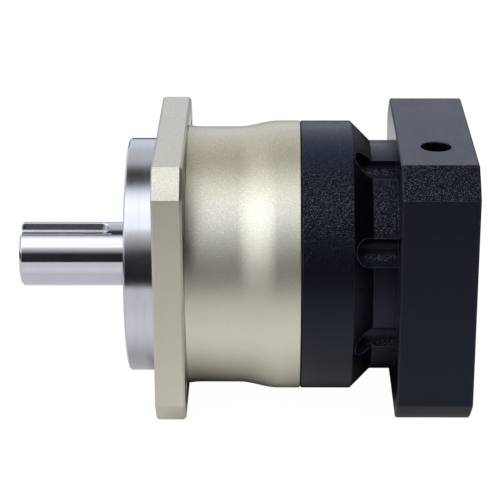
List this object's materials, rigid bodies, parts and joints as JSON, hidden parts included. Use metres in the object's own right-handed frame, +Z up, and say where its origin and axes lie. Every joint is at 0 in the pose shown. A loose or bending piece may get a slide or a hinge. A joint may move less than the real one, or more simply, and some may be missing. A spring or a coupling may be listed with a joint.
{
  "type": "planetary gearbox",
  "caption": "Inline single-stage planetary gearbox with square mounting flange, keyed output shaft, flared round body and square motor adapter with clamp hub.",
  "frame": {"origin": "on the gear axis, halfway between the output shaft tip and the motor face", "axes": "+X along the gear axis towards the motor, +Z up, flange sides parallel to Y and Z"},
  "size_m": [0.1528, 0.092, 0.092],
  "materials": {
    "champagne": "satin champagne plating with a fine blasted grain",
    "bare_steel": "turned bare steel",
    "ground_steel": "ground bare steel",
    "black_anodised": "black anodised over a fine blasted surface",
    "gear_steel": "hardened and ground gear steel",
    "bearing_steel": "polished bearing steel",
    "brass_cage": "machined brass cage with steel balls",
    "bronze": "plain bronze",
    "black_oxide": "black oxide steel",
    "spring_steel": "phosphated spring steel",
    "rubber": "matte nitrile rubber"
  },
  "bodies": {
    "housing": {"adapter_screw_1": "black_oxide", "adapter_screw_2": "black_oxide", "adapter_screw_3": "black_oxide", "adapter_screw_4": "black_oxide", "cover_o_ring": "rubber", "front_bearing_cover": "bare_steel", "front_bearing_outer_race": "bearing_steel", "housing_o_ring": "rubber", "housing_screw_1": "black_oxide", "housing_screw_2": "black_oxide", "housing_screw_3": "black_oxide", "housing_screw_4": "black_oxide", "housing_screw_5": "black_oxide", "housing_screw_6": "black_oxide", "housing_screw_7": "black_oxide", "housing_screw_8": "black_oxide", "input_bearing_outer_race": "bearing_steel", "input_bore_circlip": "spring_steel", "input_housing": "black_anodised", "input_shaft_seal": "rubber", "motor_adapter_flange": "black_anodised", "outer_race_spacer": "bare_steel", "output_housing": "champagne", "output_shaft_seal": "rubber", "rear_bearing_outer_race": "bearing_steel", "ring_gear": "gear_steel"},
    "output": {"output_shaft": "ground_steel", "carrier_plate": "gear_steel", "front_bearing_inner_race": "bearing_steel", "rear_bearing_inner_race": "bearing_steel", "inner_race_spacer": "bare_steel", "output_circlip": "spring_steel", "carrier_screw_1": "black_oxide", "planet_pin_1": "bearing_steel", "front_thrust_washer_1": "bronze", "rear_thrust_washer_1": "bronze", "carrier_screw_2": "black_oxide", "planet_pin_2": "bearing_steel", "front_thrust_washer_2": "bronze", "rear_thrust_washer_2": "bronze", "carrier_screw_3": "black_oxide", "planet_pin_3": "bearing_steel", "front_thrust_washer_3": "bronze", "rear_thrust_washer_3": "bronze"},
    "input": {"sun_gear_hub": "gear_steel", "input_bearing_inner_race": "bearing_steel", "input_shaft_circlip": "spring_steel", "clamp_collar": "black_oxide", "clamp_screw": "black_oxide"},
    "planet_1": {"planet_gear_1": "gear_steel", "planet_needle_sleeve_1": "bearing_steel"},
    "planet_2": {"planet_gear_2": "gear_steel", "planet_needle_sleeve_2": "bearing_steel"},
    "planet_3": {"planet_gear_3": "gear_steel", "planet_needle_sleeve_3": "bearing_steel"},
    "front_cage": {"front_bearing_ball_cage": "brass_cage"},
    "rear_cage": {"rear_bearing_ball_cage": "brass_cage"},
    "input_cage": {"input_bearing_ball_cage": "brass_cage"}
  },
  "joints": [
    {"name": "output_spin", "type": "hinge", "parent": "housing", "child": "output", "pos_m": [0, 0, 0], "axis": [1, 0, 0], "continuous": true},
    {"name": "input_spin", "type": "hinge", "parent": "housing", "child": "input", "pos_m": [0.05, 0, 0], "axis": [1, 0, 0], "continuous": true},
    {"name": "planet_1_spin", "type": "hinge", "parent": "output", "child": "planet_1", "pos_m": [0.01, 0, 0.018], "axis": [1, 0, 0], "continuous": true},
    {"name": "planet_2_spin", "type": "hinge", "parent": "output", "child": "planet_2", "pos_m": [0.01, -0.01559, -0.009], "axis": [1, 0, 0], "continuous": true},
    {"name": "planet_3_spin", "type": "hinge", "parent": "output", "child": "planet_3", "pos_m": [0.01, 0.01559, -0.009], "axis": [1, 0, 0], "continuous": true},
    {"name": "front_cage_spin", "type": "hinge", "parent": "housing", "child": "front_cage", "pos_m": [-0.019, 0, 0], "axis": [1, 0, 0], "continuous": true},
    {"name": "rear_cage_spin", "type": "hinge", "parent": "housing", "child": "rear_cage", "pos_m": [-0.007, 0, 0], "axis": [1, 0, 0], "continuous": true},
    {"name": "input_cage_spin", "type": "hinge", "parent": "housing", "child": "input_cage", "pos_m": [0.03155, 0, 0], "axis": [1, 0, 0], "continuous": true}
  ],
  "couplings": [
    {"joint": "input_spin", "follows": "output_spin", "ratio": 10},
    {"joint": "planet_1_spin", "follows": "output_spin", "ratio": -2.25},
    {"joint": "planet_2_spin", "follows": "output_spin", "ratio": -2.25},
    {"joint": "planet_3_spin", "follows": "output_spin", "ratio": -2.25},
    {"joint": "front_cage_spin", "follows": "output_spin", "ratio": 0.43556},
    {"joint": "rear_cage_spin", "follows": "output_spin", "ratio": 0.43556},
    {"joint": "input_cage_spin", "follows": "output_spin", "ratio": 4.3766}
  ]
}
